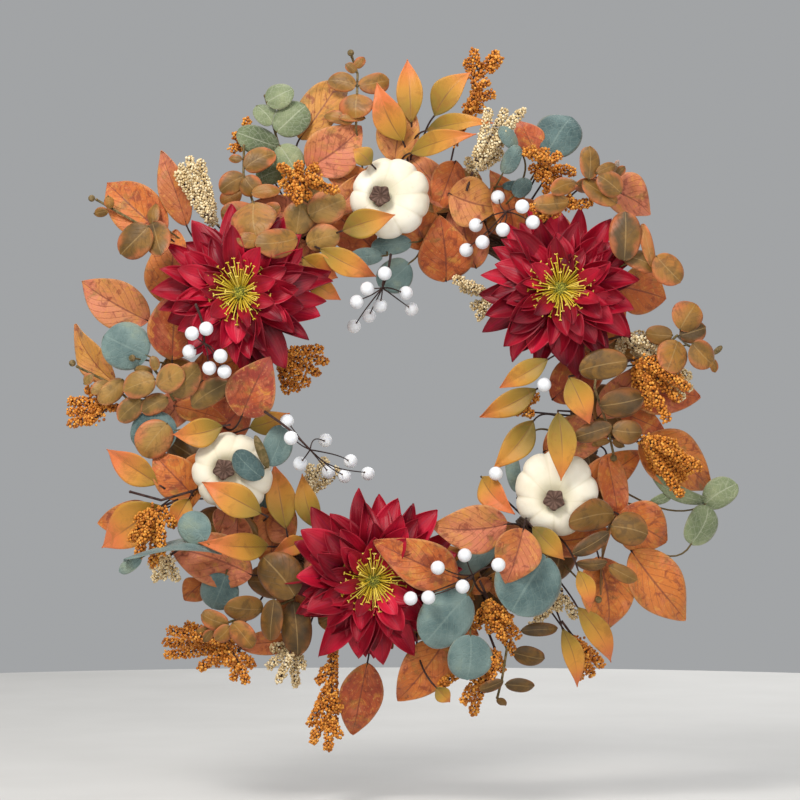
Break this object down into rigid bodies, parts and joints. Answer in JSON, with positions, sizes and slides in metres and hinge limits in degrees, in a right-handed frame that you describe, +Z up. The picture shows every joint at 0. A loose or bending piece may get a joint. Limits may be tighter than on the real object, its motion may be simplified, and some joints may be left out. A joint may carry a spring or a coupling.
{
  "type": "harvest door wreath",
  "caption": "Round grapevine door wreath with artificial dahlias, small pumpkins, autumn leaves, seed heads and berries, hung by a wire loop.",
  "frame": {"origin": "the point inside the top of the hanging loop that bears on the door hook", "axes": "+X to the viewer's right, +Z up, the wreath faces -Y and the door is at +Y"},
  "size_m": [0.5821, 0.135, 0.6093],
  "materials": {
    "berry_white": "matte",
    "calyx_green": "matte",
    "copper_leaf": "matte",
    "grapevine": "rough bark",
    "green_leaf": "matte",
    "millet_cream": "matte",
    "mustard_leaf": "matte",
    "petal_red": "satin",
    "pumpkin_cream": "matte",
    "pumpkin_stem": "matte",
    "rust_leaf": "matte",
    "sorghum_orange": "matte",
    "stamen_yellow": "matte",
    "wire": "satin"
  },
  "bodies": {
    "hanger": {"hanging_loop": "wire"},
    "wreath": {"berries_single": "berry_white", "binding_ties": "grapevine", "copper_left": "copper_leaf", "copper_lower_left": "copper_leaf", "copper_lower_right": "copper_leaf", "copper_right": "copper_leaf", "copper_top": "copper_leaf", "copper_upper_left": "copper_leaf", "copper_upper_right": "copper_leaf", "dahlia_bottom_calyx": "calyx_green", "dahlia_bottom_inner_petals": "petal_red", "dahlia_bottom_outer_petals": "petal_red", "dahlia_bottom_stamens": "stamen_yellow", "dahlia_left_calyx": "calyx_green", "dahlia_left_inner_petals": "petal_red", "dahlia_left_outer_petals": "petal_red", "dahlia_left_stamens": "stamen_yellow", "dahlia_right_calyx": "calyx_green", "dahlia_right_inner_petals": "petal_red", "dahlia_right_outer_petals": "petal_red", "dahlia_right_stamens": "stamen_yellow", "green_left": "green_leaf", "green_right": "green_leaf", "green_top": "green_leaf", "green_upper_left": "green_leaf", "hanging_staple": "wire", "millet_lower": "millet_cream", "millet_right": "millet_cream", "millet_upper": "millet_cream", "mustard_bottom": "mustard_leaf", "mustard_inner": "mustard_leaf", "mustard_left": "mustard_leaf", "mustard_right": "mustard_leaf", "mustard_top": "mustard_leaf", "pumpkin_left_body": "pumpkin_cream", "pumpkin_left_stem": "pumpkin_stem", "pumpkin_right_body": "pumpkin_cream", "pumpkin_right_stem": "pumpkin_stem", "pumpkin_top_body": "pumpkin_cream", "pumpkin_top_stem": "pumpkin_stem", "rust_bottom": "rust_leaf", "rust_left_lower": "rust_leaf", "rust_left_upper": "rust_leaf", "rust_right_lower": "rust_leaf", "rust_right_upper": "rust_leaf", "rust_top": "rust_leaf", "sorghum_bottom": "sorghum_orange", "sorghum_bottom_left": "sorghum_orange", "sorghum_left": "sorghum_orange", "sorghum_right": "sorghum_orange", "sorghum_top": "sorghum_orange", "vine_core": "grapevine", "vines_back": "grapevine", "vines_front": "grapevine"},
    "berries_left_spray": {"berries_left": "berry_white"},
    "berries_top_spray": {"berries_top": "berry_white"},
    "berries_right_spray": {"berries_right": "berry_white"},
    "berries_inner_spray": {"berries_inner": "berry_white"},
    "berries_bottom_spray": {"berries_bottom": "berry_white"}
  },
  "joints": [
    {"name": "hang_tilt", "type": "hinge", "parent": "hanger", "child": "wreath", "pos_m": [0, 0, -0.02725], "axis": [-1, 0, 0], "range_deg": [0, 12]},
    {"name": "berries_left_bend", "type": "hinge", "parent": "wreath", "child": "berries_left_spray", "pos_m": [-0.172, -0.11772, -0.11964], "axis": [-0.9835, 0, -0.1812], "range_deg": [0, 20]},
    {"name": "berries_top_bend", "type": "hinge", "parent": "wreath", "child": "berries_top_spray", "pos_m": [-0.008, -0.07582, -0.07564], "axis": [-0.9816, 0, 0.1909], "range_deg": [0, 20]},
    {"name": "berries_right_bend", "type": "hinge", "parent": "wreath", "child": "berries_right_spray", "pos_m": [0.094, -0.06044, -0.01264], "axis": [-0.9459, 0, 0.3243], "range_deg": [0, 20]},
    {"name": "berries_inner_bend", "type": "hinge", "parent": "wreath", "child": "berries_inner_spray", "pos_m": [-0.114, -0.11008, -0.20964], "axis": [-0.6163, 0, -0.7875], "range_deg": [0, 20]},
    {"name": "berries_bottom_bend", "type": "hinge", "parent": "wreath", "child": "berries_bottom_spray", "pos_m": [0.074, -0.05933, -0.36764], "axis": [0.5408, 0, 0.8412], "range_deg": [0, 20]}
  ]
}
